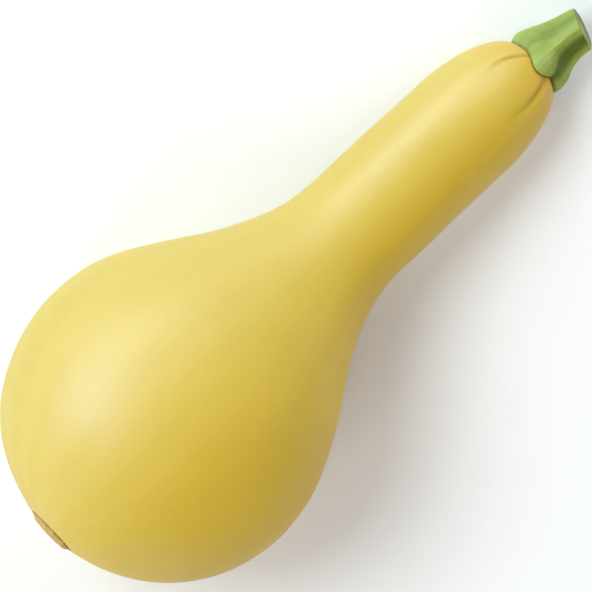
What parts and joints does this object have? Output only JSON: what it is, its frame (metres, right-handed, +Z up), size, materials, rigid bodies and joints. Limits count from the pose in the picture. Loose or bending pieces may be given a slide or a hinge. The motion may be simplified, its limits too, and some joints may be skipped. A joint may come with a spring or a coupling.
{
  "type": "summer squash",
  "caption": "Yellow straightneck summer squash lying on its side: round bulb, long even neck and a short cut green stem with ridges.",
  "frame": {"origin": "on the ground, under the middle of the lying squash's box", "axes": "+X along the length towards the stem, +Z up from the ground, +Y to the side the axis bows towards"},
  "size_m": [0.1812, 0.08, 0.079],
  "materials": {
    "fruit_skin": "satin",
    "stem_green": "matte"
  },
  "bodies": {
    "root": {"fruit": "fruit_skin", "stem": "stem_green"}
  },
  "joints": []
}
